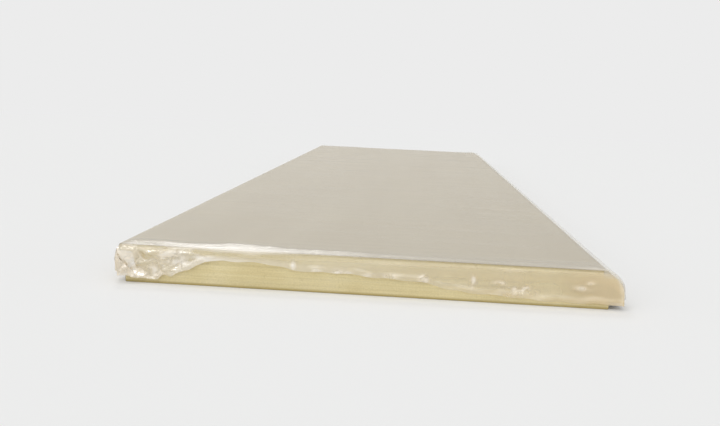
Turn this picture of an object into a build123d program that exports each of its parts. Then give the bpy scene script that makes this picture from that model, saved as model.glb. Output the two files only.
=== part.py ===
"""Insulated sandwich panel: two painted steel sheets roll-formed round a rigid foam core, lying flat.

Millimetres. X runs across the panel with the tongue at +X, Y along it with the shown end at -Y,
Z up from the floor. The joint is drawn once as an outline of the cross-section: sheets and edge
tapes are strips of that outline, and the foam is what is left inside them.
"""
from build123d import *
import os

# Stock size: what one panel covers once its tongue is in its neighbour's groove.
COVER_WIDTH = 1000.0
THICKNESS = 80.0
LENGTH = 4000.0

# Sheets and tapes.
SHEET = 0.5
TAPE = 0.2
FILM = 0.2

# Groove edge (-X). Lips are measured with their sheet, and the lower one stops short of the upper.
LIP_TOP = 15.0
LIP_BOTTOM = 14.0
LIP_SETBACK = 14.0
GROOVE_DEPTH_TOP = 27.0
GROOVE_DEPTH_BOTTOM = 40.0

# Clearances that the tongue edge keeps from a neighbour's groove edge.
FIT_HEIGHT = 1.0
FIT_DEPTH = 1.0
FACE_GAP = 2.0

# Returns of the sheets into the joint, measured from the bend before them.
HEM_LIP_TOP = 17.0
HEM_LIP_BOTTOM = 15.0
HEM_TONGUE_TOP = 9.0
HEM_TONGUE_BOTTOM = 7.0

# Bends, outside radius, and the softer corners of the foamed edge.
BEND = 2.5
NOSE_TOP = 4.0
NOSE_BOTTOM = 4.0
GROOVE_CORNER = 5.0

# Loose cover film over the top: its skirts stop this far above the floor.
FILM_GAP = 0.3
FILM_SKIRT = 32.0
FILM_SHOULDER = 5.0
FILM_SHOULDER_RISE = 2.0

# Fits that follow from the values above. Cover lines lie at minus and plus half the cover width.
half = COVER_WIDTH / 2
lip_x = -half
low_lip_x = -half + LIP_SETBACK
groove_top_x = -half + GROOVE_DEPTH_TOP
groove_bottom_x = -half + GROOVE_DEPTH_BOTTOM
groove_top_z = THICKNESS - LIP_TOP
groove_bottom_z = LIP_BOTTOM

face_x = half - FACE_GAP
low_face_x = half + LIP_SETBACK - FACE_GAP
tongue_top_x = half + GROOVE_DEPTH_TOP - FIT_DEPTH
tongue_bottom_x = half + GROOVE_DEPTH_BOTTOM - FIT_DEPTH
tongue_top_z = groove_top_z - FIT_HEIGHT
tongue_bottom_z = groove_bottom_z + FIT_HEIGHT

film_side_x = tongue_bottom_x + FILM_GAP
film_low_x = lip_x - FILM_GAP - FILM
film_high_x = film_side_x + FILM

# The whole object is centred on its own box, so the cover line is a little left of the middle.
SHIFT_X = -(film_low_x + film_high_x) / 2


def section_outline():
    """Face of the whole cross-section, drawn anticlockwise from the lower groove lip."""
    corners = [
        ((low_lip_x, 0), BEND),
        ((low_face_x, 0), BEND),
        ((low_face_x, tongue_bottom_z), BEND),
        ((tongue_bottom_x, tongue_bottom_z), NOSE_BOTTOM),
        ((tongue_top_x, tongue_top_z), NOSE_TOP),
        ((face_x, tongue_top_z), BEND),
        ((face_x, THICKNESS), BEND),
        ((lip_x, THICKNESS), BEND),
        ((lip_x, groove_top_z), BEND),
        ((groove_top_x, groove_top_z), GROOVE_CORNER),
        ((groove_bottom_x, groove_bottom_z), GROOVE_CORNER),
        ((low_lip_x, groove_bottom_z), BEND),
    ]
    points = [point for point, _ in corners]
    radii = [radius for _, radius in corners]
    return make_face(FilletPolyline(*points, radius=radii, close=True))


def skin(outline, thickness):
    """Ring of one thickness just inside the outline."""
    return outline - offset(outline, amount=-thickness, kind=Kind.INTERSECTION)


def region(*points):
    """Closed polygon that picks a stretch of a skin."""
    return make_face(Polyline(*points, close=True))


def along(face, length=LENGTH):
    """Extrudes a cross-section along the panel, centred on its middle."""
    plane = Plane(origin=(SHIFT_X, length / 2, 0), x_dir=(1, 0, 0), z_dir=(0, -1, 0))
    return extrude(plane * face, amount=length)


def sections():
    """Cross-sections of the two sheets, the two tapes and the foam."""
    outline = section_outline()
    steel = skin(outline, SHEET)
    tape = skin(outline, TAPE)
    far = COVER_WIDTH
    mid_z = THICKNESS / 2
    lip_hem_x = lip_x + HEM_LIP_TOP
    low_hem_x = low_lip_x + HEM_LIP_BOTTOM
    tongue_hem_z = tongue_top_z - HEM_TONGUE_TOP
    low_tongue_hem_z = tongue_bottom_z + HEM_TONGUE_BOTTOM

    above = region(
        (-far, mid_z), (lip_hem_x, mid_z), (lip_hem_x, groove_top_z + BEND),
        (0, groove_top_z + BEND), (0, tongue_hem_z), (far, tongue_hem_z),
        (far, far), (-far, far),
    )
    below = region(
        (-far, mid_z), (low_hem_x, mid_z), (low_hem_x, groove_bottom_z - BEND),
        (0, groove_bottom_z - BEND), (0, low_tongue_hem_z), (far, low_tongue_hem_z),
        (far, -far), (-far, -far),
    )
    nose = region(
        (0, low_tongue_hem_z), (far, low_tongue_hem_z), (far, tongue_hem_z), (0, tongue_hem_z),
    )
    groove = region(
        (lip_hem_x, mid_z), (lip_hem_x, groove_top_z + BEND), (0, groove_top_z + BEND),
        (0, groove_bottom_z - BEND), (low_hem_x, groove_bottom_z - BEND), (low_hem_x, mid_z),
    )
    top_sheet = steel & above
    bottom_sheet = steel & below
    tongue_tape = tape & nose
    groove_tape = tape & groove
    foam = outline - top_sheet - bottom_sheet - tongue_tape - groove_tape
    return top_sheet, bottom_sheet, tongue_tape, groove_tape, foam


def cover_film():
    """Hood of loose film: flat on the top, over the tongue in two slopes, and down all four sides."""
    shoulder = (tongue_top_x + FILM_SHOULDER, tongue_top_z + FILM_SHOULDER_RISE)
    inside = [
        (lip_x - FILM_GAP, 0),
        (lip_x - FILM_GAP, THICKNESS),
        (face_x, THICKNESS),
        shoulder,
        (film_side_x, THICKNESS / 2),
        (film_side_x, 0),
    ]
    room = make_face(Polyline(*inside, close=True))
    hood = offset(room, amount=FILM, kind=Kind.INTERSECTION)
    reach = LENGTH + 2 * FILM_GAP
    solid = along(hood, reach + 2 * FILM) - along(room, reach)
    low = Box(2 * COVER_WIDTH, 2 * LENGTH, THICKNESS, align=(Align.CENTER, Align.CENTER, Align.MAX))
    return solid - low.moved(Location((0, 0, FILM_SKIRT)))


def main():
    """Builds every node and writes one STEP file for each."""
    os.makedirs("parts", exist_ok=True)
    top_sheet, bottom_sheet, tongue_tape, groove_tape, foam = sections()
    nodes = {
        "top_facing": along(top_sheet),
        "bottom_facing": along(bottom_sheet),
        "tongue_tape": along(tongue_tape),
        "groove_tape": along(groove_tape),
        "foam_core": along(foam),
        "cover_film": cover_film(),
    }
    for name, shape in nodes.items():
        solids = shape.solids()
        box = shape.bounding_box()
        print(name, "solids", len(solids), "volume cm3 %.1f" % (shape.volume / 1000),
              "x %.2f %.2f y %.1f %.1f z %.2f %.2f" % (
                  box.min.X, box.max.X, box.min.Y, box.max.Y, box.min.Z, box.max.Z))
        export_step(solids[0] if len(solids) == 1 else shape, f"parts/{name}.step")


main()
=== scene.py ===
# %% [markdown]
# An insulated sandwich panel, lying flat under its loose cover film.
# Two painted steel sheets hold a slab of rigid polyurethane foam between them. Both ends are sawn,
# so the foam and the edges of the sheets show there. One long edge has a tongue and the other a
# groove, and a clear film lies over the top with its borders folded down.
# This lesson dresses the measured model: the sheets, the tapes and their places come from the frame,
# and the looks are made here.

# %% Load the measured frame
import math

import bmesh
import bpy
import numpy as np
from mathutils import Matrix, Vector, noise


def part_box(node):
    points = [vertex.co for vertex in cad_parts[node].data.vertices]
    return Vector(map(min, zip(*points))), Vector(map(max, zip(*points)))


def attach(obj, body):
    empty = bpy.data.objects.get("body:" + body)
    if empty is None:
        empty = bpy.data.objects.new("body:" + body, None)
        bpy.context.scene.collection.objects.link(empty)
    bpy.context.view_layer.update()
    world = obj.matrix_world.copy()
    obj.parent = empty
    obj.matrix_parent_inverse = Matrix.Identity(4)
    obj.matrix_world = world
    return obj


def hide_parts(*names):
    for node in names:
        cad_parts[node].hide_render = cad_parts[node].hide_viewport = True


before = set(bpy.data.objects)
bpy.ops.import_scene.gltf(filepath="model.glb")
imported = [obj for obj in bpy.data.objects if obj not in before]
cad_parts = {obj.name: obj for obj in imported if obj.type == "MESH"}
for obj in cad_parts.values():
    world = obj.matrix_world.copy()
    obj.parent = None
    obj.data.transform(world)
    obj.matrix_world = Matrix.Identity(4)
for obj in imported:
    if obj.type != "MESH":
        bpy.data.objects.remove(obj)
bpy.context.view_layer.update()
MM = 0.001

# %% [markdown]
# The camera stands where a person would who looks along the panel from just in front of its sawn end.
# Its height, its distance and its lens decide how strongly the long edges run together, so these three
# are kept from the view that the panel was measured in. Only the aim is turned, so that the whole
# panel sits in the middle of the frame, and the small tilt of the horizon is kept too.

# %% Camera
FRAME_PX = (720, 426)
FOCAL_PX = 889.0
SENSOR_MM = 36.0
FARTHEST_SEEN = 200.0
EYE = Vector((0.079, -3.793, 0.4035))
YAW, PITCH, ROLL = math.radians(-3.2), math.radians(7.4), math.radians(2.67)


def aim(yaw, pitch, roll):
    """Rotation of a camera that looks along +Y, turned by yaw to +X, tipped down by pitch, and rolled."""
    forward = Vector((
        math.sin(yaw) * math.cos(pitch), math.cos(yaw) * math.cos(pitch), -math.sin(pitch)))
    level = Vector((math.cos(yaw), -math.sin(yaw), 0.0))
    upright = level.cross(forward)
    right = math.cos(roll) * level + math.sin(roll) * upright
    up = math.cos(roll) * upright - math.sin(roll) * level
    return Matrix((right, up, -forward)).transposed()


lens = bpy.data.cameras.new("camera")
lens.sensor_width = SENSOR_MM
lens.lens = FOCAL_PX / FRAME_PX[0] * lens.sensor_width
lens.clip_end = FARTHEST_SEEN
camera = bpy.data.objects.new("camera", lens)
bpy.context.scene.collection.objects.link(camera)
camera.matrix_world = Matrix.Translation(EYE) @ aim(YAW, PITCH, ROLL).to_4x4()
bpy.context.scene.camera = camera
print("lens mm %.2f" % lens.lens)

# %% [markdown]
# Every material is a small network of nodes. One function turns a hex colour, which is how paint
# cards and screens give it, into the linear numbers that light is worked out in. Another adds a node,
# sets it and links it, so that each material below reads as a list of steps.

# %% Helpers for materials
def colour(code):
    """Linear RGBA of an sRGB hex colour."""
    channels = [int(code[i:i + 2], 16) / 255 for i in (1, 3, 5)]
    return (*[c / 12.92 if c <= 0.04045 else ((c + 0.055) / 1.055) ** 2.4 for c in channels], 1.0)


def per_mm(size):
    """Scale of a pattern whose repeat is that many millimetres."""
    return 1.0 / (size * MM)


def add(tree, kind, inputs=None, stops=(), **settings):
    """Adds a node. A socket among the inputs is linked, and stops (place, colour) make a ramp."""
    made = tree.nodes.new(kind)
    for name, value in settings.items():
        setattr(made, name, value)
    for name, value in (inputs or {}).items():
        if isinstance(value, bpy.types.NodeSocket):
            tree.links.new(value, made.inputs[name])
        else:
            made.inputs[name].default_value = value
    for k, (place, shade) in enumerate(stops):
        elements = made.color_ramp.elements
        if k >= 2:
            elements.new(1.0)
        elements[k].position = place
        elements[k].color = shade
    return made


def new_material(name):
    """An empty material and its node tree."""
    material = bpy.data.materials.new(name)
    material.use_nodes = True
    material.node_tree.nodes.clear()
    return material, material.node_tree


def dress(target, material):
    """Gives an object this material in place of its own."""
    target.data.materials.clear()
    target.data.materials.append(material)


print("mid grey paper is, in linear light,", [round(c, 3) for c in colour("#808080")[:3]])

# %% [markdown]
# The sheets are thin steel, galvanised and then painted on a coil line before they are rolled to
# shape. The paint is a warm grey-beige polyester, satin, with a very fine orange peel, and the wide
# flat of the sheet is never quite flat. At the sawn ends a thin line of bare zinc-coated steel shows,
# because the saw cuts the paint away. The colour drifts a little in long streaks along the coil and in
# wide clouds. The orange peel is drawn at 2.2 mm, coarser than it is, so that it can show at all.

# %% Coil-painted steel
sheet_low, sheet_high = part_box("top_facing")
HALF_LENGTH = round(sheet_high[1], 5)
CUT_DEPTH = 0.05 * MM


def coil_painted_steel():
    """Satin coil paint on zinc-coated steel, bare on the two sawn ends."""
    material, tree = new_material("coil_painted_steel")
    place = add(tree, "ShaderNodeTexCoord").outputs["Object"]
    where = add(tree, "ShaderNodeSeparateXYZ", {0: place})
    along = add(tree, "ShaderNodeMath", {0: where.outputs["Y"]}, operation="ABSOLUTE").outputs[0]
    cut = add(tree, "ShaderNodeMath", {
        0: along, 1: HALF_LENGTH - CUT_DEPTH}, operation="GREATER_THAN").outputs[0]
    streak_map = add(tree, "ShaderNodeMapping", {
        "Vector": place, "Scale": (per_mm(120), per_mm(900), per_mm(120))})
    streaks = add(tree, "ShaderNodeTexNoise", {"Vector": streak_map.outputs[0], "Scale": 1.0, "Detail": 4.0})
    clouds = add(tree, "ShaderNodeTexNoise", {
        "Vector": place, "Scale": per_mm(420), "Detail": 5.0, "Roughness": 0.6})
    mixed = add(tree, "ShaderNodeMath", {0: streaks.outputs[0], 1: clouds.outputs[0]}, operation="ADD")
    half = add(tree, "ShaderNodeMath", {0: mixed.outputs[0], 1: 0.5}, operation="MULTIPLY").outputs[0]
    paint = add(tree, "ShaderNodeValToRGB", {0: half}, stops=[
        (0.34, colour("#ABA08A")), (0.66, colour("#B3A994"))]).outputs["Color"]
    bare = colour("#716F66")
    skin = add(tree, "ShaderNodeMix", {"Factor": cut, 6: paint, 7: bare}, data_type="RGBA").outputs[2]
    peel = add(tree, "ShaderNodeTexNoise", {"Vector": place, "Scale": per_mm(2.2), "Detail": 2.0})
    dents = add(tree, "ShaderNodeTexNoise", {"Vector": place, "Scale": per_mm(260), "Detail": 1.0})
    broad = add(tree, "ShaderNodeBump", {
        "Height": dents.outputs[0], "Distance": 1.2 * MM, "Strength": 0.5})
    fine = add(tree, "ShaderNodeBump", {
        "Height": peel.outputs[0], "Distance": 0.02 * MM, "Strength": 0.5, "Normal": broad.outputs[0]})
    rough = add(tree, "ShaderNodeMapRange", {
        0: clouds.outputs[0], 1: 0.3, 2: 0.7, 3: 0.44, 4: 0.56}).outputs[0]
    metal = add(tree, "ShaderNodeMath", {0: cut, 1: 0.6}, operation="MULTIPLY").outputs[0]
    shader = add(tree, "ShaderNodeBsdfPrincipled", {
        "Base Color": skin, "Roughness": rough, "Metallic": metal, "Specular IOR Level": 0.35,
        "Normal": fine.outputs[0]})
    add(tree, "ShaderNodeOutputMaterial", {0: shader.outputs[0]})
    return material


steel = coil_painted_steel()
for name in ("top_facing", "bottom_facing"):
    dress(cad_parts[name], steel)
print("dressed the two sheets in", steel.name, "and their length is mm", 2 * HALF_LENGTH / MM)

# %% [markdown]
# The foam is rigid polyurethane: closed cells under half a millimetre, pale straw yellow, matte. It
# rose between the sheets while they travelled, so the sawn end shows faint level bands, and it is
# denser where it touched the steel. The dark band along each sheet is partly that denser skin and
# partly painted shade, drawn wider and darker than the skin. The cells are drawn coarser than they
# are, because at their real size they would vanish in the render.

# %% Sawn polyurethane foam
THICKNESS = round(sheet_high[2], 5)
# Where the dark band along each sheet starts and where it is darkest: partly denser skin, partly painted
# shade.
SKIN_SHADE_FROM, SKIN_SHADE_TO = 6.5 * MM, 1.5 * MM


def sawn_foam():
    """Matte closed-cell foam with level bands, darker within a few millimetres of both sheets."""
    material, tree = new_material("sawn_polyurethane_foam")
    place = add(tree, "ShaderNodeTexCoord").outputs["Object"]
    where = add(tree, "ShaderNodeSeparateXYZ", {0: place})
    level = add(tree, "ShaderNodeMapping", {
        "Vector": place, "Scale": (per_mm(260), per_mm(260), per_mm(9))})
    bands = add(tree, "ShaderNodeTexNoise", {
        "Vector": level.outputs[0], "Scale": 1.0, "Detail": 5.0, "Roughness": 0.62, "Distortion": 0.4})
    cells = add(tree, "ShaderNodeTexVoronoi", {"Vector": place, "Scale": per_mm(1.7)})
    grain = add(tree, "ShaderNodeTexNoise", {"Vector": place, "Scale": per_mm(2.6), "Detail": 3.0})
    blotch = add(tree, "ShaderNodeTexNoise", {"Vector": place, "Scale": per_mm(120), "Detail": 4.0})
    mixed = add(tree, "ShaderNodeMath", {0: bands.outputs[0], 1: blotch.outputs[0]}, operation="ADD")
    half = add(tree, "ShaderNodeMath", {0: mixed.outputs[0], 1: 0.5}, operation="MULTIPLY").outputs[0]
    body = add(tree, "ShaderNodeValToRGB", {0: half}, stops=[
        (0.36, colour("#CEBE90")), (0.5, colour("#D7C99D")), (0.64, colour("#DED1AA"))]).outputs["Color"]
    streak_map = add(tree, "ShaderNodeMapping", {
        "Vector": place, "Scale": (per_mm(420), per_mm(420), per_mm(4.5))})
    streaks = add(tree, "ShaderNodeTexNoise", {"Vector": streak_map.outputs[0], "Scale": 1.0, "Detail": 3.0})
    streak = add(tree, "ShaderNodeMapRange", {
        0: streaks.outputs[0], 1: 0.3, 2: 0.7, 3: 0.91, 4: 1.05}).outputs[0]
    speck = add(tree, "ShaderNodeMapRange", {
        0: grain.outputs[0], 1: 0.3, 2: 0.7, 3: 0.90, 4: 1.06}).outputs[0]
    shade = add(tree, "ShaderNodeMath", {0: speck, 1: streak}, operation="MULTIPLY").outputs[0]
    speckled = add(tree, "ShaderNodeMix", {
        "Factor": 1.0, 6: body, 7: shade}, data_type="RGBA", blend_type="MULTIPLY").outputs[2]
    # Darker within a few millimetres of each sheet: partly the denser foam skin, partly painted shade along
    # the edges.
    middle = add(tree, "ShaderNodeMath", {
        0: where.outputs["Z"], 1: THICKNESS / 2}, operation="SUBTRACT").outputs[0]
    from_middle = add(tree, "ShaderNodeMath", {0: middle}, operation="ABSOLUTE").outputs[0]
    skin_and_shade = add(tree, "ShaderNodeMapRange", {
        0: from_middle, 1: THICKNESS / 2 - SKIN_SHADE_FROM, 2: THICKNESS / 2 - SKIN_SHADE_TO,
        3: 0.0, 4: 0.9}).outputs[0]
    skin_and_shade_mixed = add(tree, "ShaderNodeMix", {
        "Factor": skin_and_shade, 6: speckled, 7: colour("#9E8C55")}, data_type="RGBA").outputs[2]
    pores = add(tree, "ShaderNodeBump", {
        "Height": cells.outputs[0], "Distance": 0.5 * MM, "Strength": 0.5})
    torn = add(tree, "ShaderNodeBump", {
        "Height": bands.outputs[0], "Distance": 0.8 * MM, "Strength": 0.5, "Normal": pores.outputs[0]})
    shader = add(tree, "ShaderNodeBsdfPrincipled", {
        "Base Color": skin_and_shade_mixed, "Roughness": 0.92, "Specular IOR Level": 0.2, "Normal": torn.outputs[0]})
    add(tree, "ShaderNodeOutputMaterial", {0: shader.outputs[0]})
    return material


foam = sawn_foam()
print("made", foam.name, "for a panel of mm", THICKNESS / MM)

# %% [markdown]
# A saw doesn't leave foam flat. Its teeth leave upright marks a few millimetres apart, the slab is not
# pushed quite evenly past the blade, and gas bubbles that were cut open show as small pits, most of
# them just under the upper sheet. A bump in the material could fake the marks, but the pits need real
# depth. So the measured slab is copied, its two end faces are cut into a fine grid, and the points
# inside each face are pressed in a little. The outline stays where it was.

# %% A fine grid on the sawn ends
SAW_GRID = 1.8 * MM
GRID_MARGIN = 2 * MM
SAME_PLACE = 0.01 * MM

slab = bmesh.new()
slab.from_mesh(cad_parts["foam_core"].data)
bmesh.ops.remove_doubles(slab, verts=slab.verts, dist=SAME_PLACE)
slab_low, slab_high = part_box("foam_core")


def cut_across(faces, axis, places):
    """Cuts flat faces by planes at rising places along an axis, and gives all the pieces."""
    normal = (1, 0, 0) if axis == 0 else (0, 0, 1)
    finished, rest = [], list(faces)
    for place in places:
        crossed, later = [], []
        for face in rest:
            reach = [v.co[axis] for v in face.verts]
            if max(reach) < place + SAME_PLACE:
                finished.append(face)
            elif min(reach) > place - SAME_PLACE:
                later.append(face)
            else:
                crossed.append(face)
        parts = set(crossed)
        for face in crossed:
            parts.update(face.edges)
            parts.update(face.verts)
        point = [place * along for along in normal]
        cut = bmesh.ops.bisect_plane(
            slab, geom=list(parts), plane_co=point, plane_no=normal, dist=0.001 * MM)
        rest = later + [part for part in cut["geom"] if isinstance(part, bmesh.types.BMFace)]
    return finished + rest


def grid_end(place_y):
    """Joins the faces of one flat end and cuts them into a grid. Gives the points inside it."""
    def on_end(vertex):
        return abs(vertex.co.y - place_y) < SAME_PLACE

    end_faces = [face for face in slab.faces if all(on_end(v) for v in face.verts)]
    end_faces = bmesh.ops.dissolve_faces(slab, faces=end_faces, use_verts=False)["region"]
    strips = cut_across(end_faces, 0, np.arange(slab_low[0] + GRID_MARGIN, slab_high[0], SAW_GRID))
    cut_across(strips, 2, np.arange(slab_low[2] + GRID_MARGIN, slab_high[2], SAW_GRID))
    return [v for v in slab.verts if all(on_end(w) for face in v.link_faces for w in face.verts)]


print("foam slab in mm", [round((high - low) / MM) for low, high in zip(slab_low, slab_high)])

# %% [markdown]
# The lines of the blade stand 7 mm apart and lean a little, and their depth wanders. Two in three of
# the bubbles lie close under the upper sheet, where the gas collects while the foam rises. Each end
# has a seed of its own, so the two differ, and they come out the same every time. Faces that touch
# the outline keep flat shading, so that the slab's edges stay crisp.

# %% Saw marks and opened bubbles
SAW_PITCH, SAW_DEPTH = 7 * MM, 0.25 * MM
SAW_SLANT = 0.12
PITS_PER_END = 46
PIT_MARGIN, UNDER_SHEET, PIT_SCATTER = 30 * MM, 4 * MM, 18 * MM
END_SEEDS = ((slab_low[1], 3), (slab_high[1], 8))


def draw_pits(seed):
    """Place across, height and radius of each pit. Two in three lie near the upper sheet."""
    draw = np.random.RandomState(seed)
    pits = []
    for k in range(PITS_PER_END):
        across = draw.uniform(slab_low[0] + PIT_MARGIN, slab_high[0] - PIT_MARGIN)
        if k % 3:
            height = slab_high[2] - UNDER_SHEET - abs(draw.normal(0, PIT_SCATTER))
        else:
            height = draw.uniform(10 * MM, 70 * MM)
        pits.append((across, height, draw.uniform(2.0, 4.5) * MM))
    return pits


def rough_end(place_y, seed):
    """Turns one flat end into a sawn one, and gives how many points were pressed in."""
    inside = grid_end(place_y)
    pits = draw_pits(seed)
    inward = -1 if place_y > 0 else 1
    for vertex in inside:
        x, _, z = vertex.co
        wander = 5 * noise.noise((x * 9, z * 3, seed))
        lines = 0.5 + 0.5 * math.sin((x + SAW_SLANT * z) * 2 * math.pi / SAW_PITCH + wander)
        depth = SAW_DEPTH * lines + 0.35 * MM * (0.5 + noise.noise((x * 14, z * 40, seed)))
        depth += 0.25 * MM * noise.noise((x * 160, z * 420, seed))
        for pit_x, pit_z, radius in pits:
            far = math.hypot(x - pit_x, z - pit_z) / radius
            if far < 1:
                depth += 0.35 * radius * (1 + math.cos(math.pi * far))
        vertex.co.y += inward * max(0.0, depth)
    pressed_in = set(inside)
    for face in {f for v in inside for f in v.link_faces}:
        face.smooth = all(v in pressed_in for v in face.verts)
    return len(inside)


pressed = [rough_end(end, seed) for end, seed in END_SEEDS]
slab_data = bpy.data.meshes.new("sawn_foam")
slab.to_mesh(slab_data)
slab.free()
sawn_slab = bpy.data.objects.new("sawn_foam", slab_data)
bpy.context.scene.collection.objects.link(sawn_slab)
dress(sawn_slab, foam)
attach(sawn_slab, "root")
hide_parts("foam_core")
print("points pressed in at each end", pressed)

# %% [markdown]
# Strips of laminated kraft paper close the foam between the returns of the two sheets. Paper is
# matte, with short fibres along the web and a faint mottling, and it puckers a little where the foam
# pulled on it as it cooled. The fibres are drawn thicker than real ones, so that they can be seen.

# %% Laminated kraft paper
def kraft_laminate():
    """Matte straw-brown paper with fibres along the panel."""
    material, tree = new_material("laminated_kraft_paper")
    place = add(tree, "ShaderNodeTexCoord").outputs["Object"]
    web = add(tree, "ShaderNodeMapping", {"Vector": place, "Scale": (per_mm(3), per_mm(26), per_mm(3))})
    fibres = add(tree, "ShaderNodeTexNoise", {"Vector": web.outputs[0], "Scale": 1.0, "Detail": 4.0})
    mottle = add(tree, "ShaderNodeTexNoise", {"Vector": place, "Scale": per_mm(60), "Detail": 3.0})
    mixed = add(tree, "ShaderNodeMath", {0: fibres.outputs[0], 1: mottle.outputs[0]}, operation="ADD")
    half = add(tree, "ShaderNodeMath", {0: mixed.outputs[0], 1: 0.5}, operation="MULTIPLY").outputs[0]
    straw = add(tree, "ShaderNodeValToRGB", {0: half}, stops=[
        (0.36, colour("#C6B38A")), (0.64, colour("#D4C39E"))]).outputs["Color"]
    pucker = add(tree, "ShaderNodeTexNoise", {"Vector": place, "Scale": per_mm(38), "Detail": 2.0})
    folds = add(tree, "ShaderNodeBump", {
        "Height": pucker.outputs[0], "Distance": 1.0 * MM, "Strength": 0.6})
    shader = add(tree, "ShaderNodeBsdfPrincipled", {
        "Base Color": straw, "Roughness": 0.8, "Specular IOR Level": 0.3, "Normal": folds.outputs[0]})
    add(tree, "ShaderNodeOutputMaterial", {0: shader.outputs[0]})
    return material


paper = kraft_laminate()
for name in ("tongue_tape", "groove_tape"):
    dress(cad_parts[name], paper)
print("dressed the two tapes in", paper.name)

# %% [markdown]
# The cover film is soft clear polyethylene, a fifth of a millimetre thick. A flat stretch lets light
# through almost unchanged and mirrors it off at a low angle. Where the film is loose it is crossed by
# creases, and each of them turns a little mirror towards some lamp, which is why crumpled film
# glitters. The larger creases are modelled further down, and the finest are left to the material: two
# nets of sharp lines over a soft unevenness, bent so that no cell is like the next. They are drawn on
# the sheet as it lay flat, so they go round every fold with the film.

# %% Finest creases of the film
CREASE_NET, FINE_NET = 38, 15


def film_creases(tree, flat, loose, crumple):
    """Bumps of the finest creases, with their net and the warped places that the net was drawn on."""
    creases = add(tree, "ShaderNodeTexNoise", {
        "Vector": flat, "Scale": per_mm(12), "Detail": 3.0, "Roughness": 0.6}, noise_dimensions="2D")
    bent = add(tree, "ShaderNodeTexNoise", {
        "Vector": flat, "Scale": per_mm(26), "Detail": 2.0}, noise_dimensions="2D")
    shift = add(tree, "ShaderNodeVectorMath", {
        0: bent.outputs["Color"], 1: (28 * MM, 28 * MM, 0.0)}, operation="MULTIPLY")
    warped = add(tree, "ShaderNodeVectorMath", {0: flat, 1: shift.outputs[0]}, operation="ADD").outputs[0]
    net, fine_net = [
        add(tree, "ShaderNodeTexVoronoi", {"Vector": warped, "Scale": per_mm(size)},
            voronoi_dimensions="2D", feature="DISTANCE_TO_EDGE").outputs["Distance"]
        for size in (CREASE_NET, FINE_NET)]
    deep = add(tree, "ShaderNodeMapRange", {0: loose, 1: 0.0, 2: 1.0, 3: 0.04, 4: 0.45}).outputs[0]
    soft = add(tree, "ShaderNodeBump", {
        "Height": creases.outputs[0], "Distance": 1.5 * MM, "Strength": deep})
    folded = add(tree, "ShaderNodeBump", {
        "Height": net, "Distance": 6 * MM, "Strength": crumple, "Normal": soft.outputs[0]})
    crinkle = add(tree, "ShaderNodeBump", {
        "Height": fine_net, "Distance": 1.4 * MM, "Strength": crumple, "Normal": folded.outputs[0]})
    return crinkle.outputs[0], net, warped


print("crease nets in mm", CREASE_NET, FINE_NET)

# %% [markdown]
# Where film is creased, doubled or rolled at its hem it turns milky, and some of the milk here is
# painted light. The milk is a share from 0 to 1, and four things are added up for it: what is stored
# at each point of the sheet when it is shaped, which holds painted highlights and glints too, white
# lines along the creases, patches where crumpled film lies double, which are partly painted glints,
# and faint bands across the panel that the film keeps from the reel it came on.

# %% Milk in the film
BAND_LENGTH, BAND_STEP = 700, 45


def film_milk_and_highlights(tree, flat, haze_and_highlights, crumple, net, warped):
    """Share of milk and painted highlight at a point, from the stored share, creases, doubled patches that
    are partly painted glints, and bands.
    """
    on_crease = add(tree, "ShaderNodeMapRange", {0: net, 1: 0.0, 2: 0.12, 3: 0.30, 4: 0.0}).outputs[0]
    whitened = add(tree, "ShaderNodeMath", {0: on_crease, 1: crumple}, operation="MULTIPLY").outputs[0]
    # Patches where crumpled film lies double, which also serve as painted glints.
    patch = add(tree, "ShaderNodeTexVoronoi", {"Vector": warped, "Scale": per_mm(CREASE_NET)},
                voronoi_dimensions="2D").outputs["Color"]
    doubled_and_glint = add(tree, "ShaderNodeMapRange", {0: patch, 1: 0.58, 2: 0.66, 3: 0.0, 4: 0.38}).outputs[0]
    layered_and_glint = add(tree, "ShaderNodeMath", {0: doubled_and_glint, 1: crumple}, operation="MULTIPLY").outputs[0]
    band_map = add(tree, "ShaderNodeMapping", {
        "Vector": flat, "Scale": (per_mm(BAND_LENGTH), per_mm(BAND_STEP), 1.0)})
    bands = add(tree, "ShaderNodeTexNoise", {
        "Vector": band_map.outputs[0], "Scale": 1.0, "Detail": 4.0}, noise_dimensions="2D")
    faint = add(tree, "ShaderNodeMapRange", {
        0: bands.outputs[0], 1: 0.45, 2: 0.7, 3: 0.0, 4: 0.07}).outputs[0]
    both = add(tree, "ShaderNodeMath", {0: whitened, 1: layered_and_glint}, operation="ADD").outputs[0]
    all_three = add(tree, "ShaderNodeMath", {0: both, 1: faint}, operation="ADD").outputs[0]
    return add(tree, "ShaderNodeMath", {0: haze_and_highlights, 1: all_three}, operation="ADD", use_clamp=True).outputs[0]


print("bands of milk in mm", BAND_LENGTH, "by", BAND_STEP)
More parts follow.
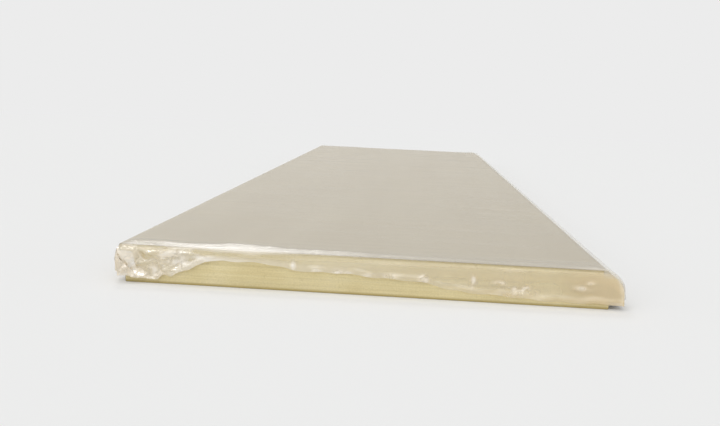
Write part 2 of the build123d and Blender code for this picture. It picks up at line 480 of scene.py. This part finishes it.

# %% [markdown]
# A film could be drawn with refraction, but so thin a sheet hardly bends light, and plain see-through
# renders faster and cleaner. So the material is a mix of three: see-through, milk and mirror. Some of
# the milk is painted light: highlights on the roll and glints in the pinches. Dust tints the milk
# towards tan. Four numbers that are stored at every point of the sheet steer the mix: how loose the
# film is there, how hazy, with the painted highlights counted in, how crumpled and how dusty. Lying
# film mirrors only at a low angle, and loose or crumpled film a little from every side.

# %% Polyethylene film
def polyethylene_film():
    """See-through film with milk where it is creased or dusty, milk that also paints highlights and glints,
    and a mirror that grows at low angles.
    """
    material, tree = new_material("blown_polyethylene_film")
    flat = add(tree, "ShaderNodeUVMap", uv_map="flat").outputs[0]
    loose, haze_and_highlights, crumple, dust = [
        add(tree, "ShaderNodeAttribute", attribute_name=stored).outputs["Fac"]
        for stored in ("loose", "haze_and_highlights", "crumple", "dust")]
    crinkle, net, warped = film_creases(tree, flat, loose, crumple)
    milk_and_highlight_share = film_milk_and_highlights(tree, flat, haze_and_highlights, crumple, net, warped)
    clear = add(tree, "ShaderNodeBsdfTransparent", {0: colour("#FDFDFC")})
    cloudy = add(tree, "ShaderNodeMix", {
        "Factor": dust, 6: colour("#FAF6EF"), 7: colour("#E4CEA0")}, data_type="RGBA").outputs[2]
    front = add(tree, "ShaderNodeBsdfDiffuse", {0: cloudy, "Normal": crinkle})
    through = add(tree, "ShaderNodeBsdfTranslucent", {0: cloudy, "Normal": crinkle})
    milk_and_highlight = add(tree, "ShaderNodeMixShader", {0: 0.2, 1: front.outputs[0], 2: through.outputs[0]})
    body = add(tree, "ShaderNodeMixShader", {0: milk_and_highlight_share, 1: clear.outputs[0], 2: milk_and_highlight.outputs[0]})
    lying = add(tree, "ShaderNodeMapRange", {0: loose, 1: 0.0, 2: 1.0, 3: 0.46, 4: 0.29}).outputs[0]
    rough = add(tree, "ShaderNodeMapRange", {0: crumple, 1: 0.1, 2: 0.6, 3: lying, 4: 0.14}).outputs[0]
    gloss = add(tree, "ShaderNodeBsdfGlossy", {
        "Color": colour("#FFFFFF"), "Roughness": rough, "Normal": crinkle})
    turned = add(tree, "ShaderNodeLayerWeight", {"Blend": 0.5, "Normal": crinkle}).outputs["Facing"]
    grazing = add(tree, "ShaderNodeMath", {0: turned, 1: 4.0}, operation="POWER").outputs[0]
    hanging = add(tree, "ShaderNodeMapRange", {0: loose, 1: 0.0, 2: 1.0, 3: 0.05, 4: 0.14}).outputs[0]
    least = add(tree, "ShaderNodeMapRange", {0: crumple, 1: 0.0, 2: 1.0, 3: hanging, 4: 0.22}).outputs[0]
    mirrored = add(tree, "ShaderNodeMapRange", {0: grazing, 1: 0.0, 2: 1.0, 3: least, 4: 0.20}).outputs[0]
    skin = add(tree, "ShaderNodeMixShader", {0: mirrored, 1: body.outputs[0], 2: gloss.outputs[0]})
    add(tree, "ShaderNodeOutputMaterial", {0: skin.outputs[0]})
    return material


film_material = polyethylene_film()
print("made", film_material.name)

# %% [markdown]
# The film is one sheet laid over the panel, with its borders folded down along the panel's own
# outline. A cloth simulation could drape it, but it can't be told where each fold has to lie, so the
# sheet is made flat and every point is sent along a path: level over the top, round the edge, and
# down. Beside the tongue the film bridges the sloping nose. Over a sawn end it starts to stand up in
# a roll, and hangs in front of the foam.

# %% The film's paths over the edges
# The flat top runs from the lip over the groove to the bend of the upper sheet over the tongue.
TOP, TOP_WIDTH = THICKNESS + 0.5 * MM, 998 * MM
LIP = round(sheet_low[0], 5)
FACE_EDGE = LIP + TOP_WIDTH
FLOOR_GAP = 4 * MM

# The paths that the film takes over the edges, outwards and down: pairs of millimetres.
GROOVE_SIDE = [
    (0, 0), (1.2, -0.1), (2.6, -0.6), (4.0, -1.8), (4.8, -3.6), (5.0, -6.0), (5.0, -90.0)]
TONGUE_SIDE = [
    (0, 0), (8, -0.3), (15, -2.0), (22, -5.2), (29, -10.5), (35, -17.5), (39, -25), (41.6, -34),
    (42.4, -44), (42.6, -90.0)]
SAWN_END = [
    (0, 0), (3, 0.3), (6, 0.3), (9, -0.4), (12, -2.2), (14.2, -5.0), (15.4, -8.6), (15.6, -13.0),
    (14.7, -20.0), (13.0, -30.0), (11.8, -42.0), (11.0, -56.0), (11.0, -90.0)]
GROOVE_BEND, END_BEND = 4 * MM, 9 * MM

# How far the film hangs down over the near sawn end: place across and length, in millimetres.
NEAR_HANG = [
    (-524, 56), (-500, 64), (-488, 71), (-465, 73), (-440, 72), (-424, 60), (-408, 66), (-388, 58),
    (-370, 52), (-354, 40), (-338, 31), (-300, 25), (-230, 27), (-153, 37), (0, 43), (60, 44),
    (115, 50), (165, 60), (214, 63), (300, 69), (400, 72), (478, 74)]
FAR_HANG = 52
LEAST_HANG, HOOD_ABOVE_FLOOR = 10 * MM, 7 * MM


def route(points):
    """A path of millimetre points as distances along it, and its places outwards and down in metres."""
    spots = np.array(points, float) * MM
    steps = np.hypot(*np.diff(spots, axis=0).T)
    return np.concatenate([[0.0], np.cumsum(steps)]), spots[:, 0], spots[:, 1]


def follow(path, distance):
    """Outwards, down, and the length that already hangs straight, at that distance along a path."""
    reach, out, down = path
    return (
        float(np.interp(distance, reach, out)), float(np.interp(distance, reach, down)),
        max(0.0, distance - reach[-2]),
    )


over_groove, over_tongue, over_end = route(GROOVE_SIDE), route(TONGUE_SIDE), route(SAWN_END)
GROOVE_OVERHANG, TONGUE_OVERHANG = 58 * MM, 84 * MM
FILM_WIDTH = FACE_EDGE + TONGUE_OVERHANG - LIP + GROOVE_OVERHANG


def end_overhang(s, near):
    """How far the film reaches past a sawn end. It was cut by hand, so that isn't even."""
    places, lengths = zip(*NEAR_HANG)
    if near:
        straight = np.interp(s / MM, places, lengths)
    else:
        straight = FAR_HANG - 10 * math.cos(s / 0.31) + 5 * math.sin(s / 0.11)
    hand_cut = straight + 1.6 * math.sin(s / 0.027) + 1.0 * math.sin(s / 0.0113 + 1)
    down_edge = follow(over_tongue, max(0.0, s - FACE_EDGE))[1]
    return min(hand_cut * MM, max(LEAST_HANG, TOP + down_edge - HOOD_ABOVE_FLOOR))


print("film width in mm %.0f" % (FILM_WIDTH / MM))

# %% [markdown]
# Where an end and a long edge meet, both borders have to go down. Over the tongue the long edge slopes
# so gently that the two run together into a rounded hood. Over the groove the edge is square and
# there is too much film, so it is folded into an ear, as on a wrapped parcel. The ear's two layers
# are laid against the sawn end, one over the other.

# %% Fold a point of the sheet
EAR_START = over_end[0][6]
EAR_SPREAD, EAR_SPLAY = 0.95, 0.12
OUTER_LAYER, INNER_LAYER = 3.0 * MM, 1.0 * MM


def fold(s, t, near_share, far_share):
    """Place of a point of the flat film, and which end's ear it is part of: -1, 1, or 0 for none."""
    x, down, drop_x = s, 0.0, 0.0
    if s < LIP + GROOVE_BEND:
        out, down, drop_x = follow(over_groove, LIP + GROOVE_BEND - s)
        x = LIP + GROOVE_BEND - out
    elif s > FACE_EDGE:
        out, down, _ = follow(over_tongue, s - FACE_EDGE)
        x = FACE_EDGE + out
    if near_share + far_share == 0:
        return (x, t, TOP + down), 0
    face = -1 if near_share > 0 else 1
    past = (near_share + far_share) * (end_overhang(s, face < 0) + END_BEND)
    out_y, down_y, _ = follow(over_end, past)
    if drop_x > 0 and past > EAR_START:
        length, angle = math.hypot(drop_x, past - EAR_START), math.atan2(past - EAR_START, drop_x)
        lean = min(angle, math.pi / 2 - angle)
        reach = length * math.sin(lean)
        out_low, down_y, _ = follow(over_end, EAR_START + length * math.cos(lean))
        out_start = follow(over_end, EAR_START)[0]
        out_y = out_start + (out_low - out_start) * angle / (math.pi / 2)
        layer = INNER_LAYER if angle > math.pi / 4 else OUTER_LAYER
        out_y += layer * math.sin(2 * angle) + reach * EAR_SPLAY
        height = max(FLOOR_GAP, TOP + down + drop_x + down_y)
        return (x + reach * EAR_SPREAD, face * (HALF_LENGTH - END_BEND + out_y), height), face
    return (x, face * (HALF_LENGTH - END_BEND + out_y), max(FLOOR_GAP, TOP + down + down_y)), 0


print("film on the near corner over the groove, in mm:",
      [round(v / MM) for v in fold(LIP - 0.03, -HALF_LENGTH, 1.0, 0.0)[0]])

# %% [markdown]
# The sheet itself is a grid. Its cells are 4 mm wide, and as long near the ends, where the creases
# are, but up to 17 mm long in the quiet middle. It comes from one operator, and each of its points is
# then given its place across and along in the flat sheet, and its folded place.

# %% Flat grid, folded
FINE, COARSE = 4 * MM, 17 * MM
GROWTH = 1.10
MIDDLE_ROOM = 0.02
END_ROWS = 22


def rows_along():
    """One (place along, share of the near border, share of the far border) for each row of the grid."""
    near = [(-HALF_LENGTH, (END_ROWS - k) / END_ROWS, 0.0) for k in range(END_ROWS)]
    place, step, first_half = -HALF_LENGTH + END_BEND, FINE, []
    while place < -MIDDLE_ROOM:
        first_half.append((place, 0.0, 0.0))
        place += step
        step = min(step * GROWTH, COARSE)
    second_half = [(-place, 0.0, 0.0) for place, _, _ in reversed(first_half)]
    far = [(HALF_LENGTH, 0.0, (k + 1) / END_ROWS) for k in range(END_ROWS)]
    return near + first_half + [(0.0, 0.0, 0.0)] + second_half + far


rows = rows_along()
columns = round(FILM_WIDTH / FINE) + 1
film_grid = bmesh.new()
bmesh.ops.create_grid(film_grid, x_segments=columns - 1, y_segments=len(rows) - 1, size=1.0)
film_grid.verts.ensure_lookup_table()
cells_x = np.array([round((v.co.x + 1) / 2 * (columns - 1)) for v in film_grid.verts])
cells_y = np.array([round((v.co.y + 1) / 2 * (len(rows) - 1)) for v in film_grid.verts])
flat_s = LIP - GROOVE_OVERHANG + np.arange(columns) / (columns - 1) * FILM_WIDTH
flat_t = np.zeros((len(rows), columns))
placed = np.zeros((len(rows), columns, 3))
eared = np.zeros((len(rows), columns))
for r, (along, near, far) in enumerate(rows):
    for c, s in enumerate(flat_s):
        flat_t[r, c] = along - near * end_overhang(s, True) + far * end_overhang(s, False)
        placed[r, c], eared[r, c] = fold(s, along, near, far)
print("film grid", columns, "by", len(rows))

# %% [markdown]
# Thin film buckles into small flat facets with sharp creases between them, not into soft waves. Such a
# surface is made by giving each corner of a net of triangles its own random height and joining the
# corners with straight planes. The net is bent first by a slow ripple, so that its rows don't show.

# %% Ripples, facets and steps
shuffle = np.random.RandomState(20)
NET = 64
HEIGHTS = shuffle.rand(NET, NET)
SKEW = (math.sqrt(3) - 1) / 2
GOLDEN_TURN = 2.399


def ripple(u, v, size, seed):
    """Slow smooth waves from -1 to 1 or so, by adding a few directions."""
    total = np.zeros(np.broadcast(u, v).shape)
    # Each wave has its own direction, length and start, so that the sum doesn't repeat.
    for k in range(5):
        turn, phase = seed * 1.7 + k * GOLDEN_TURN, seed * 3.1 + k * 1.3
        across = u * math.cos(turn) + v * math.sin(turn)
        total = total + np.sin(across * (0.8 + 0.23 * k) * 2 * math.pi / size + phase)
    return total / 3.0


def facets(u, v, size, seed):
    """Flat facets with sharp creases, heights 0 to 1, about that many millimetres across."""
    size = size * MM
    u = u + ripple(u, v, size * 5.1, seed) * size * 0.55
    v = v + ripple(u, v, size * 4.3, seed + 5) * size * 0.55
    x, y = u / size, v / size
    lean = (x + y) * SKEW
    # Each seed reads its own part of the net.
    x, y = x + lean + 17 * seed, y + lean + 29 * seed
    i, j = np.floor(x).astype(int), np.floor(y).astype(int)
    fx, fy = x - i, y - j
    h00, h11 = HEIGHTS[i % NET, j % NET], HEIGHTS[(i + 1) % NET, (j + 1) % NET]
    h10, h01 = HEIGHTS[(i + 1) % NET, j % NET], HEIGHTS[i % NET, (j + 1) % NET]
    lower = h00 * (1 - fx) + h10 * (fx - fy) + h11 * fy
    upper = h00 * (1 - fy) + h01 * (fy - fx) + h11 * fx
    return np.where(fx > fy, lower, upper)


def rise(value, low, high):
    """Smooth step from 0 at low to 1 at high."""
    share = np.clip((value - low) / (high - low), 0, 1)
    return share * share * (3 - 2 * share)


def bumps(where, spots):
    """Highest of several bell shapes: (middle, half width, height) each, in millimetres."""
    total = np.zeros(where.shape)
    for middle, spread, height in spots:
        total = np.maximum(total, height * np.exp(-((where / MM - middle) / spread) ** 2))
    return total


print("mean height of the net %.3f" % HEIGHTS.mean())

# %% [markdown]
# How high the facets stand depends on where the film is loose: hardly on the flat top, and more
# towards the free borders. So each point first gets its hang, which is how far past an edge it lies,
# and a looseness that grows with the hang. All points are worked out at once, as arrays over the grid.

# %% How far each point hangs
S, T = np.broadcast_arrays(flat_s[None, :], flat_t)
near_hang = np.clip(-(HALF_LENGTH - END_BEND) - T, 0, None)
far_hang = np.clip(T - (HALF_LENGTH - END_BEND), 0, None)
end_hang = near_hang + far_hang
side_hang = np.clip(LIP - S, 0, None) + np.clip(S - FACE_EDGE - 30 * MM, 0, None)
from_end = np.clip(HALF_LENGTH - np.abs(T), 0, None)
loose_near = rise(near_hang, 8 * MM, 24 * MM)
loose_far = rise(far_hang, 8 * MM, 28 * MM)
loose_side = rise(side_hang, 2 * MM, 34 * MM)
print("longest hang over the near end in mm %.0f" % (near_hang.max() / MM))

# %% [markdown]
# The film is gathered where it was pulled together: at the groove's corners when the ears were
# folded, and in small pinches along its near border, where it caught. Each pinch gets a patch of milk:
# partly the real whitening of creases lying close together, and partly painted glints. A pinch is a
# spot where the facets stand high, with a sharp middle across and a soft one down the hang. A cloth
# simulation would put its pinches where it liked, so these are written down as a list.

# %% Gathers and pinches
# Places across where the film is gathered: middle, half width, and how high its facets stand there.
NEAR_GATHERS = [(-500, 95, 13.0), (-395, 34, 8.0), (298, 34, 2.2)]
FAR_GATHERS = [(540, 70, 7.0), (-540, 60, 7.0), (80, 60, 3.0)]

# Small pinches near the free border: place across, hang, half width across and down, height of the
# creases in millimetres, and how white the film is made there, partly by creases lying close
# together and partly as painted glints. A whiteness above the value set next shows everywhere in the
# pinch, and the rest only on some of its facets.
PINCHES = [
    (-503, 30, 16, 14, 4.0, 0.6), (-446, 61, 13, 13, 6.0, 1.5), (-421, 20, 26, 7, 5.0, 1.0),
    (-394, 38, 28, 7, 5.0, 1.0), (-380, 24, 22, 10, 6.0, 0.2), (-334, 25, 28, 5, 1.5, 1.8),
    (-153, 30, 5, 9, 3.0, 1.0), (-105, 37, 16, 5, 2.0, 0.5), (-62, 38, 16, 6, 2.6, 0.6),
    (-40, 40, 10, 6, 2.6, 0.6), (0, 41, 14, 5, 1.5, 0.5), (45, 41, 20, 6, 2.6, 0.6),
    (116, 42, 12, 8, 3.2, 1.3), (216, 44, 6, 12, 1.6, 1.8), (271, 43, 18, 5, 2.6, 0.8),
    (300, 53, 13, 8, 1.8, 1.8), (321, 51, 11, 7, 1.8, 1.8), (338, 58, 14, 6, 2.6, 0.5),
    (436, 45, 20, 6, 2.2, 0.8), (452, 36, 10, 6, 2.2, 0.6)]
GLINT_EVERYWHERE_ABOVE = 0.8

gathered, far_gathered = bumps(S, NEAR_GATHERS), bumps(S, FAR_GATHERS)
# Painted glints: patches of milk in the pinches, partly real whitening of close creases.
painted_glints = np.zeros(S.shape)
for across, hang, half_across, half_down, height, glint_whiteness in PINCHES:
    aside = (S / MM - across) / half_across
    below = (near_hang / MM - hang - END_BEND / MM) / half_down
    gathered = np.maximum(gathered, height * np.exp(-np.abs(aside) - below ** 2))
    painted_glints = np.maximum(painted_glints, glint_whiteness * np.exp(-1.6 * (aside ** 2 + below ** 2)))
on_some_facets = rise(facets(S * 0.6, T * 1.3, 10, 12), 0.28, 0.52)
painted_glints = np.clip(np.maximum(painted_glints * on_some_facets, painted_glints - GLINT_EVERYWHERE_ABOVE), 0, 1)
print("pinches", len(PINCHES), "highest gather in mm %.1f" % gathered.max())

# %% [markdown]
# Over the sawn ends the facets are about as wide as tall, with finer ones on them. Along the long
# edges they are over twice as tall as wide, because the film hangs there in shallow upright folds,
# which grow towards the ends. The points are also pushed a little across and up or down, so that the
# creases stand at odd angles.

# %% Facets of the loose borders
side_mm = (2.6 + 1.8 * ripple(S, T, 0.9, 3) + 5.0 * np.exp(-from_end / (55 * MM))) * loose_side
side_mm = side_mm * (1 - rise(end_hang, 0, 20 * MM))
crease_mm = (0.8 + gathered * rise(near_hang, 15 * MM, 31 * MM)) * loose_near
crease_mm = crease_mm + (1.0 + far_gathered) * loose_far
lifted = crease_mm * (0.78 * facets(S, T, 31, 1) + 0.46 * facets(S, T, 14, 2))
lifted = lifted + side_mm * (0.9 * facets(S * 0.45, T, 48, 6) + 0.4 * facets(S, T * 0.8, 28, 7))
pushed_x = crease_mm * (facets(S, T, 38, 4) - 0.5) * 0.9
pushed_z = crease_mm * (facets(S, T, 34, 5) - 0.5) * 0.9
print("facets stand up to mm %.1f" % lifted.max())

# %% [markdown]
# The free border was cut and has rolled back on itself. It stands off the panel a little, by a
# different amount every few centimetres, and it is milkier than the rest.

# %% Hem
HEM_FROM, HEM_FULL = 13 * MM, 6 * MM
near_edge = np.array([end_overhang(s, True) + END_BEND for s in flat_s])[None, :]
far_edge = np.array([end_overhang(s, False) + END_BEND for s in flat_s])[None, :]
hem_near = rise(near_hang, near_edge - HEM_FROM, near_edge - HEM_FULL) * (near_hang > 0)
hem_far = rise(far_hang, far_edge - HEM_FROM, far_edge - HEM_FULL) * (far_hang > 0)
side_edge = np.where(S < 0, S - flat_s[0], flat_s[-1] - S)
hem_side = (1 - rise(side_edge, 4 * MM, 11 * MM)) * loose_side
unrolled = np.clip(1.6 + 1.6 * ripple(S, T, 0.16, 7) + 1.2 * ripple(S, T, 0.05, 8), 0.2, 5)
curl = (hem_near + hem_far) * unrolled
curl = curl + hem_side * (1.4 + 1.2 * ripple(S, T, 0.31, 27))
print("hem stands off up to mm %.1f" % curl.max())

# %% [markdown]
# Over the sawn end the film stands up in a roll before it hangs down, with air under it. The roll is
# highest left of the middle, and there the milk on its front is raised as a painted highlight, so it
# shows as the brightest line of the whole panel. Below it, in three places, a narrow level fold stands
# out, where the film was tucked up under the roll.

# %% Roll of air over the ends
NEAR_ROLLS = [(-250, 130, 5.6), (-60, 130, 3.6), (-430, 90, 3.4), (330, 220, 1.6)]
TUCKS = [(-340, 60, 3.6), (-150, 70, 1.4), (60, 80, 1.2)]
past_bend = np.abs(T) - (HALF_LENGTH - END_BEND) + 6 * MM
roll_height = np.where(T < 0, 3.2 + bumps(S, NEAR_ROLLS), 3.0 + 1.5 * ripple(S, T, 0.5, 21))
roll_height = roll_height * (1 + 0.18 * ripple(S, T, 0.23, 17) + 0.08 * ripple(S, T, 0.07, 18))
from_crest = np.where(past_bend < 0, past_bend / (38 * MM), past_bend / (20 * MM))
roll_shape = np.exp(-from_crest ** 2)
across_top = rise(S, LIP - 4 * MM, LIP + 26 * MM)
across_top = across_top * (1 - rise(S, FACE_EDGE - 20 * MM, FACE_EDGE + 20 * MM))
roll = roll_height * roll_shape * across_top
tuck = bumps(S, TUCKS) * np.exp(-((near_hang - 30 * MM) / (3.2 * MM)) ** 2)
print("roll stands up to mm %.1f" % roll.max())

# %% [markdown]
# On the flat top the film all but lies on the paint. Long shallow puffs of air stay under it along
# the two long edges, and low ridges cross it where it was last pulled straight. They are only one to
# three millimetres high, but at a low angle each of them catches a line of light.

# %% Puffs and ridges on the top
# Ridges across the top: place along in metres, half width in metres, and height in millimetres.
RIDGES = [
    (-1.93, 0.012, 0.9), (-1.87, 0.009, 1.3), (-1.79, 0.016, 1.1), (-1.66, 0.02, 0.9),
    (-1.48, 0.03, 1.0), (-1.2, 0.04, 1.0), (-0.7, 0.05, 1.0), (0.1, 0.06, 1.2), (0.9, 0.05, 1.0),
    (1.5, 0.03, 1.2), (1.8, 0.02, 1.2)]
side_inset = np.minimum(S - LIP, FACE_EDGE - S)
inset = np.minimum(side_inset, HALF_LENGTH - np.abs(T))
puff = rise(side_inset, -6 * MM, 8 * MM) * (1 - rise(side_inset, 10 * MM, 46 * MM))
puffed = puff * (1.4 + 1.0 * ripple(S, T, 0.42, 11) + 0.5 * ripple(S, T, 0.13, 13)) * (end_hang <= 0)
ridge_line = T + 0.03 * ripple(S, T * 0, 0.7, 23)
ridges = sum(height * np.exp(-((ridge_line - place) / width) ** 2) for place, width, height in RIDGES)
ridges = ridges * np.clip(0.5 + 0.9 * ripple(S, T, 0.6, 25), 0, 1.4)
uneven = 0.2 + 0.2 * ripple(S, T, 0.55, 15) + 0.5 * facets(S, T * 0.6, 95, 3) + ridges
flat_top = rise(inset, 4 * MM, 30 * MM) * uneven
print("puffs and ridges stand up to mm %.1f and %.1f" % (puffed.max(), ridges.max()))

# %% [markdown]
# All these heights are added up, and each point is moved out from the panel by the sum. Which way is
# out turns smoothly from up, over the top, to sideways or endways past the edges. It is worked out
# from the hang and not from the mesh, so that neighbours move almost the same way.

# %% Raise the sheet
lift = np.clip(lifted + curl + roll + tuck + puffed + flat_top, 0.0, None) * MM
QUARTER_TURN = math.pi / 2
end_turn = np.clip(end_hang / (16 * MM), 0, 1) * QUARTER_TURN
groove_turn = np.clip((LIP + GROOVE_BEND - S) / (9 * MM), 0, 1)
tongue_turn = np.clip((S - FACE_EDGE) / (70 * MM), 0, 1)
side_turn = np.where(S < 0, groove_turn, tongue_turn) * QUARTER_TURN
out = np.stack([
    np.sign(S) * np.sin(side_turn) * np.cos(end_turn), np.sign(T) * np.sin(end_turn),
    np.cos(side_turn) * np.cos(end_turn)], axis=2)
placed = placed + out * lift[..., None]
loosened = rise(end_hang, 4 * MM, 24 * MM)
placed[..., 0] += pushed_x * MM * loosened
placed[..., 2] = np.maximum(placed[..., 2] + pushed_z * MM * loosened, FLOOR_GAP / 2)
print("film lifts up to mm %.1f" % (lift.max() / MM))

# %% [markdown]
# The material needs four numbers at each point. A little below the edge the film is pulled taut and
# clear, and the dark band at the top of the foam, partly painted shade, shows through it as a dark
# line: there, looseness, milk and creases all shrink. The haze is a sum of many small causes, one to a
# line below, and some of them are painted light: a highlight on the roll and along one hem, and glints
# in the pinches. Dust gathers where the film hangs, most of it towards the tongue and some in the
# corner over the groove.

# %% Looseness, milk and dust
CLEARED, MOST_HAZE = 0.85, 0.95
# Left of the middle, where the roll's milk carries a painted highlight and the clear band under it sits
# lower.
at_left = bumps(S, [(-275, 140, 1.0)])
kept_tight = 1 - rise(gathered, 2.0, 5.0) * (1 - 0.85 * bumps(S, [(-450, 60, 1.0)]))
taut = np.exp(-((end_hang - (21 + 5 * at_left) * MM) / (5.5 * MM)) ** 2) * kept_tight
loose = np.clip(loose_near + loose_far + loose_side + roll / 3.0, 0, 1) * (1 - CLEARED * taut)

past_arris = rise(end_hang, 2 * MM, 12 * MM)
along_roll = np.exp(-((past_bend - (12 + 6 * at_left) * MM) / ((11 + 4 * at_left) * MM)) ** 2)
fades_to_corner = 0.25 + 0.75 * rise(S, -0.48, -0.32)
milk_and_highlight_shares = [
    0.04,  # everywhere
    # Painted highlight: milk on the front of the roll, partly the fold's own milk, raised left of the
    # middle.
    (0.17 + 0.31 * at_left) * across_top * fades_to_corner * (T < 0) * along_roll,  # front of the roll
    0.08 * np.maximum(loose_near, loose_far),  # hanging over the ends
    0.13 * np.maximum(np.maximum(hem_near, hem_far), hem_side),  # hems
    0.09 * loose_side,  # hanging over the long edges
    0.018 * np.clip(crease_mm - 0.8, 0, 8),  # gathers
    0.05 * (eared != 0),  # ears, which lie double
    0.45 * rise(S, FACE_EDGE - 110 * MM, FACE_EDGE + 10 * MM) * past_arris,  # hood over the tongue
    0.10 * (1 - rise(S, LIP, LIP + 60 * MM)) * past_arris,  # corner over the groove
    0.24 * loose_side * np.exp(-from_end / (70 * MM)) * (1 - past_arris),  # ends of the long edges
    # Hem where it is shortest: partly its own rolled milk, partly a painted highlight along it.
    0.55 * hem_near * bumps(S, [(-300, 80, 1.0)]),  # hem where it is shortest
    # Pinches: partly whitened creases, partly painted glints.
    0.95 * painted_glints,  # pinches
    0.10 * rise(S, -0.20, 0.0) * np.exp(-((near_hang - 36 * MM) / (12 * MM)) ** 2)]  # veil at the right
# Milk and painted highlights together, cleared where the film is taut.
haze_and_highlights = np.clip(sum(milk_and_highlight_shares) * (1 - CLEARED * taut), 0, MOST_HAZE)

towards_tongue, in_corner = rise(S, -0.20, 0.46), 1 - rise(S, -0.44, -0.36)
# Under the painted glints there is less dust, so that they stay light.
dust = rise(end_hang, 8 * MM, 26 * MM) * (1 - 0.6 * painted_glints)
dust = dust * np.clip(0.25 + 0.75 * towards_tongue + 0.35 * in_corner, 0, 1)
crumple = np.clip((crease_mm + 0.7 * side_mm - 1.4) / 6.0, 0, 1) * (1 - CLEARED * taut)
print("mean haze %.3f, most %.3f" % (haze_and_highlights.mean(), haze_and_highlights.max()))

# %% [markdown]
# Last, the raised places go into the points of the grid, and the flat places into a map that the
# material reads. The four numbers are stored at the points. The film is hung on the panel's root and
# takes the place of the measured cover film, which is hidden.

# %% The film as an object
flat_map = film_grid.loops.layers.uv.new("flat")
for vertex, r, c in zip(film_grid.verts, cells_y, cells_x):
    vertex.co = placed[r, c]
    for loop in vertex.link_loops:
        loop[flat_map].uv = (S[r, c], T[r, c])
film_data = bpy.data.meshes.new("draped_film")
film_grid.to_mesh(film_data)
film_grid.free()
fields = {"loose": loose, "haze_and_highlights": haze_and_highlights, "dust": dust, "crumple": crumple}
for name, field in fields.items():
    stored = film_data.attributes.new(name, "FLOAT", "POINT")
    stored.data.foreach_set("value", field[cells_y, cells_x].astype(np.float32))
film = bpy.data.objects.new("draped_film", film_data)
bpy.context.scene.collection.objects.link(film)
film.data.shade_smooth()
dress(film, film_material)

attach(film, "root")
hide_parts("cover_film")
print("film faces", len(film_data.polygons))

# %% [markdown]
# The stage is a wide pale floor. It keeps the panel's shadow, and far from the panel it fades into the
# plain background, so that no horizon line crosses the picture.

# %% Floor
BACKGROUND, FLOOR_GREY = colour("#ECECEC"), colour("#EAEAEA")
FLOOR_RADIUS, FADE_FROM, FADE_TO = 60.0, 3.0, 9.0


def studio_floor():
    """Matte floor that turns into the plain background some metres out."""
    material, tree = new_material("studio_floor")
    place = add(tree, "ShaderNodeTexCoord").outputs["Object"]
    away = add(tree, "ShaderNodeVectorMath", {0: place}, operation="LENGTH").outputs["Value"]
    share = add(tree, "ShaderNodeMapRange", {
        0: away, 1: FADE_FROM, 2: FADE_TO, 3: 0.0, 4: 1.0}).outputs[0]
    lit = add(tree, "ShaderNodeBsdfDiffuse", {0: FLOOR_GREY})
    glow = add(tree, "ShaderNodeEmission", {0: BACKGROUND, 1: 1.0})
    both = add(tree, "ShaderNodeMixShader", {0: share, 1: lit.outputs[0], 2: glow.outputs[0]})
    add(tree, "ShaderNodeOutputMaterial", {0: both.outputs[0]})
    return material


floor_mesh = bmesh.new()
bmesh.ops.create_circle(floor_mesh, cap_ends=True, segments=96, radius=FLOOR_RADIUS)
floor_data = bpy.data.meshes.new("floor")
floor_mesh.to_mesh(floor_data)
floor_mesh.free()
floor = bpy.data.objects.new("floor", floor_data)
bpy.context.scene.collection.objects.link(floor)
dress(floor, studio_floor())
print("floor radius m", FLOOR_RADIUS)

# %% [markdown]
# The light is that of a pale room by day: an even sky all round, a wide window overhead, a skylight
# beyond the far end, which the film mirrors towards the eye, and a very wide doorway before the near
# end. Together with five weak lamps they come to about one on a face that looks up, so each colour
# shows about as it is written. The weak lamps give only a tenth of that. They are there to be
# mirrored: each finds its own creases in the film and makes them glint.

# %% Light
WARM, SKY_BLUE = (1.0, 1.0, 0.97), (0.97, 0.985, 1.0, 1.0)
SKY_STRENGTH = 0.52


def lamp(name, direction, energy, spread, tint):
    """A lamp so far away that its light is level, as wide as that many degrees of sky."""
    data = bpy.data.lights.new(name, "SUN")
    data.energy, data.angle, data.color = energy, math.radians(spread), tint
    made = bpy.data.objects.new(name, data)
    bpy.context.scene.collection.objects.link(made)
    made.rotation_euler = Vector(direction).to_track_quat("Z", "Y").to_euler()


lamp("window", (-0.18, 0.10, 0.97), 0.56, 24.0, (1.0, 0.985, 0.96))
lamp("skylight", (-0.22, 0.63, 0.74), 0.32, 14.0, (1.0, 0.99, 0.97))
lamp("doorway", (-0.30, -0.85, 0.42), 1.02, 100.0, (1.0, 0.99, 0.97))
sparks = [
    ((-0.19, -0.66, 0.73), 0.13, 8.0),
    ((-0.45, -0.55, 0.70), 0.19, 8.0), ((0.10, -0.80, 0.59), 0.19, 8.0),
    ((-0.60, -0.76, 0.25), 0.07, 6.0), ((-0.10, -0.98, 0.15), 0.03, 6.0)]
for index, (direction, energy, spread) in enumerate(sparks):
    lamp(f"spark_{index}", direction, energy, spread, WARM)

world = bpy.data.worlds.new("sky")
world.use_nodes = True
bpy.context.scene.world = world
sky = world.node_tree
sky.nodes.clear()
rays = add(sky, "ShaderNodeLightPath").outputs
mirrored = add(sky, "ShaderNodeMath", {
    0: rays["Is Glossy Ray"], 1: rays["Is Transmission Ray"]}, operation="ADD").outputs[0]
looked_at = add(sky, "ShaderNodeMath", {
    0: rays["Is Camera Ray"], 1: mirrored}, operation="ADD", use_clamp=True).outputs[0]
even = add(sky, "ShaderNodeBackground", {0: SKY_BLUE, 1: SKY_STRENGTH})
plain = add(sky, "ShaderNodeBackground", {0: BACKGROUND, 1: 1.0})
chosen = add(sky, "ShaderNodeMixShader", {0: looked_at, 1: even.outputs[0], 2: plain.outputs[0]})
add(sky, "ShaderNodeOutputWorld", {0: chosen.outputs[0]})

bpy.context.scene.view_settings.view_transform = "Standard"
print("lamps", len(bpy.data.lights))
